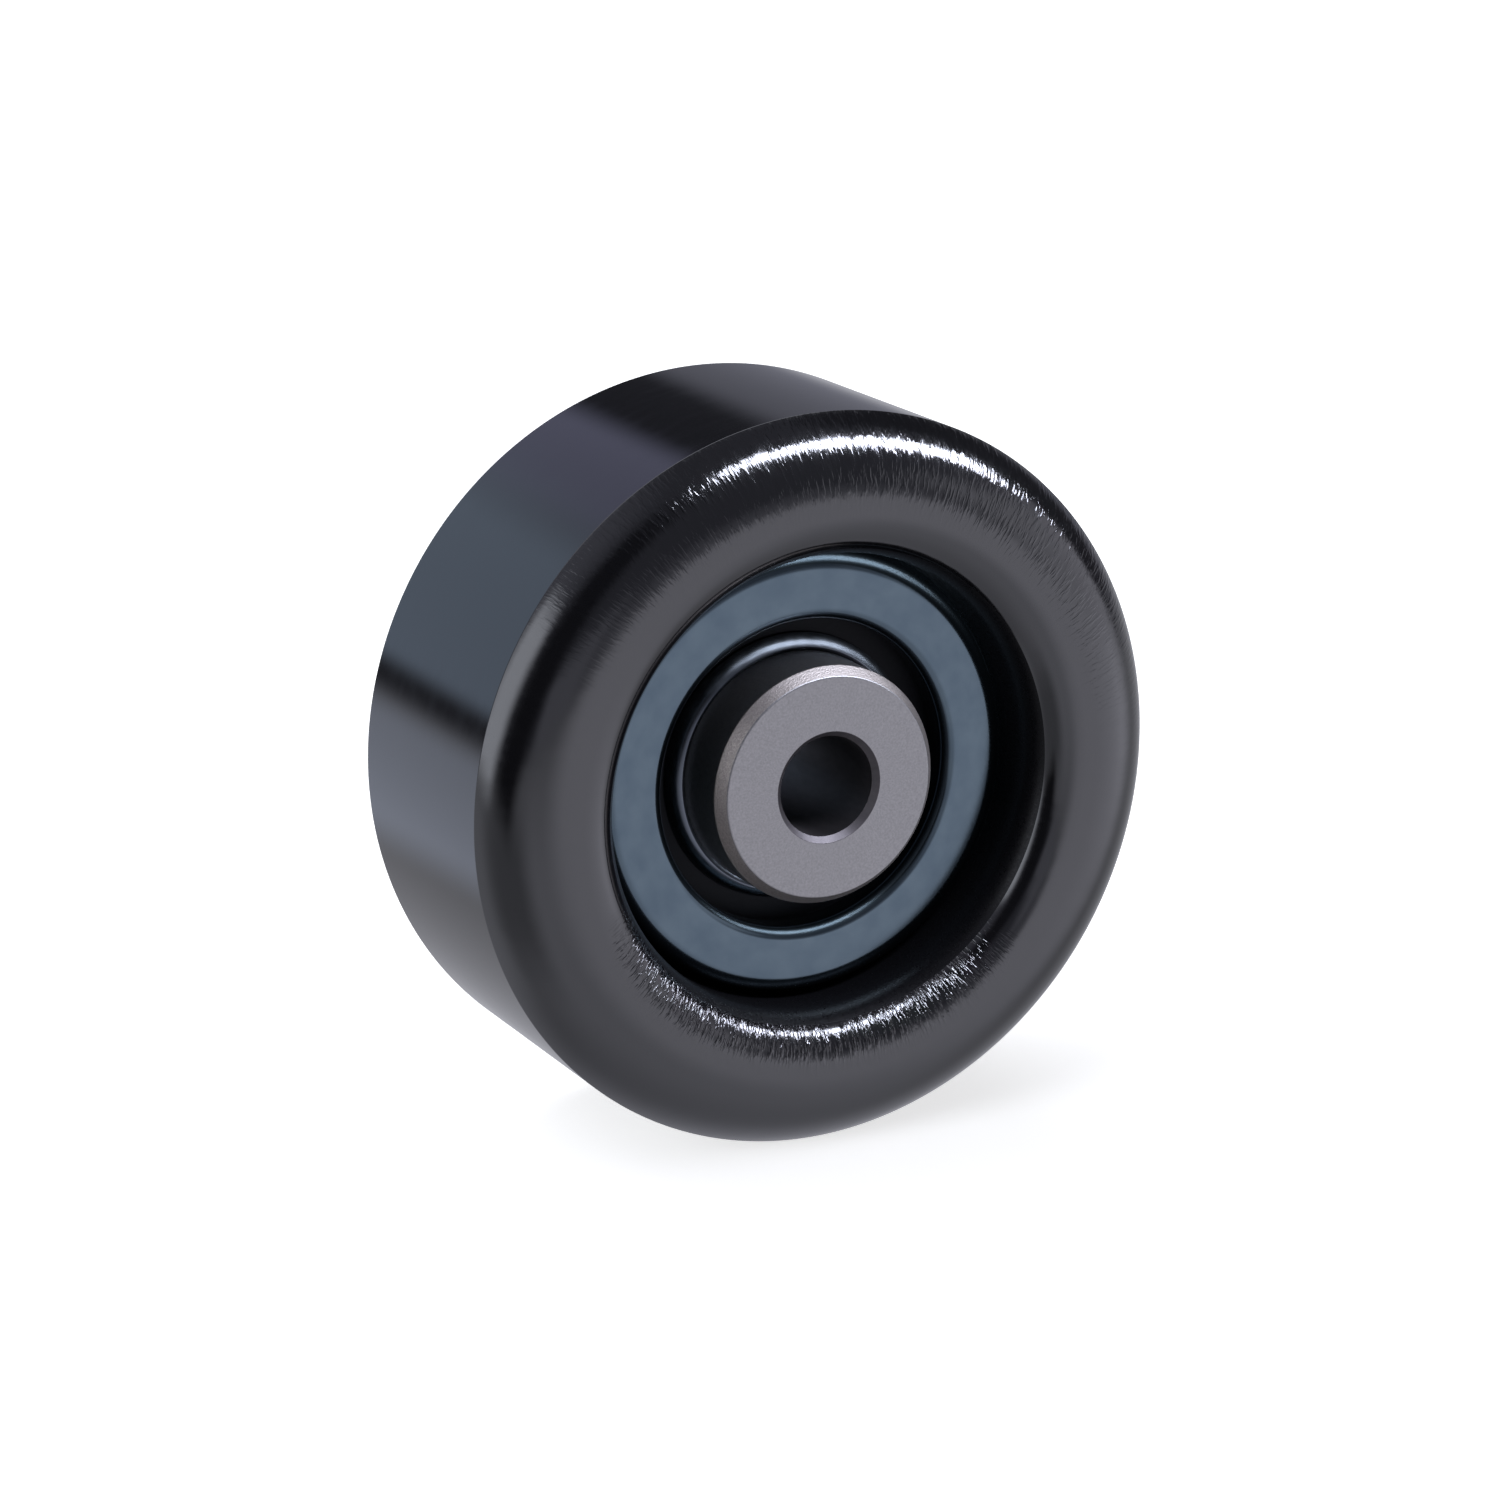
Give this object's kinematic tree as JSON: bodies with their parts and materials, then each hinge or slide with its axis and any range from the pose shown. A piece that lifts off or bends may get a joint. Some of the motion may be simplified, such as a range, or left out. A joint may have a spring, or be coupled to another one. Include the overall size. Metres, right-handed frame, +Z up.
{
  "type": "track roller",
  "caption": "Flat-faced drawn-steel roller on a sealed ball bearing, with a bored axle sleeve that lets it turn freely on a bolt.",
  "frame": {"origin": "on the axle, at the middle of the running land and of the ball bearing", "axes": "+Y along the axle towards the mounting side, front face towards -Y, +Z up"},
  "size_m": [0.07, 0.0308, 0.07],
  "materials": {
    "black_coated_steel": "gloss",
    "spring_steel": "satin",
    "blued_steel": "satin",
    "bearing_steel": "ground",
    "seal_rubber": "matte",
    "ground_steel": "matte ground",
    "cage_steel": "pressed",
    "ball_steel": "polished"
  },
  "bodies": {
    "axle": {"axle_sleeve": "ground_steel", "rear_collar": "ground_steel", "bearing_inner_ring": "bearing_steel", "front_slinger": "blued_steel", "rear_slinger": "blued_steel"},
    "roller": {"roller_shell": "black_coated_steel", "snap_ring": "spring_steel", "front_dust_cap": "blued_steel", "rear_dust_cap": "blued_steel", "bearing_outer_ring": "bearing_steel", "front_seal": "seal_rubber", "rear_seal": "seal_rubber", "front_seal_plate": "cage_steel", "rear_seal_plate": "cage_steel"},
    "cage": {"front_cage_half": "cage_steel", "rear_cage_half": "cage_steel", "cage_rivets": "cage_steel"},
    "ball_1_body": {"ball_1": "ball_steel"},
    "ball_2_body": {"ball_2": "ball_steel"},
    "ball_3_body": {"ball_3": "ball_steel"},
    "ball_4_body": {"ball_4": "ball_steel"},
    "ball_5_body": {"ball_5": "ball_steel"},
    "ball_6_body": {"ball_6": "ball_steel"},
    "ball_7_body": {"ball_7": "ball_steel"},
    "ball_8_body": {"ball_8": "ball_steel"}
  },
  "joints": [
    {"name": "roller_spin", "type": "hinge", "parent": "axle", "child": "roller", "pos_m": [0, 0, 0], "axis": [0, 1, 0], "continuous": true},
    {"name": "cage_spin", "type": "hinge", "parent": "axle", "child": "cage", "pos_m": [0, 0, 0], "axis": [0, 1, 0], "continuous": true},
    {"name": "ball_1_roll", "type": "hinge", "parent": "cage", "child": "ball_1_body", "pos_m": [0.01425, 0, 0], "axis": [0, 1, 0], "continuous": true},
    {"name": "ball_2_roll", "type": "hinge", "parent": "cage", "child": "ball_2_body", "pos_m": [0.01008, 0, -0.01008], "axis": [0, 1, 0], "continuous": true},
    {"name": "ball_3_roll", "type": "hinge", "parent": "cage", "child": "ball_3_body", "pos_m": [0, 0, -0.01425], "axis": [0, 1, 0], "continuous": true},
    {"name": "ball_4_roll", "type": "hinge", "parent": "cage", "child": "ball_4_body", "pos_m": [-0.01008, 0, -0.01008], "axis": [0, 1, 0], "continuous": true},
    {"name": "ball_5_roll", "type": "hinge", "parent": "cage", "child": "ball_5_body", "pos_m": [-0.01425, 0, 0], "axis": [0, 1, 0], "continuous": true},
    {"name": "ball_6_roll", "type": "hinge", "parent": "cage", "child": "ball_6_body", "pos_m": [-0.01008, 0, 0.01008], "axis": [0, 1, 0], "continuous": true},
    {"name": "ball_7_roll", "type": "hinge", "parent": "cage", "child": "ball_7_body", "pos_m": [0, 0, 0.01425], "axis": [0, 1, 0], "continuous": true},
    {"name": "ball_8_roll", "type": "hinge", "parent": "cage", "child": "ball_8_body", "pos_m": [0.01008, 0, 0.01008], "axis": [0, 1, 0], "continuous": true}
  ],
  "couplings": [
    {"joint": "cage_spin", "follows": "roller_spin", "ratio": 0.61837},
    {"joint": "ball_1_roll", "follows": "roller_spin", "ratio": 1.9937},
    {"joint": "ball_2_roll", "follows": "roller_spin", "ratio": 1.9937},
    {"joint": "ball_3_roll", "follows": "roller_spin", "ratio": 1.9937},
    {"joint": "ball_4_roll", "follows": "roller_spin", "ratio": 1.9937},
    {"joint": "ball_5_roll", "follows": "roller_spin", "ratio": 1.9937},
    {"joint": "ball_6_roll", "follows": "roller_spin", "ratio": 1.9937},
    {"joint": "ball_7_roll", "follows": "roller_spin", "ratio": 1.9937},
    {"joint": "ball_8_roll", "follows": "roller_spin", "ratio": 1.9937}
  ]
}
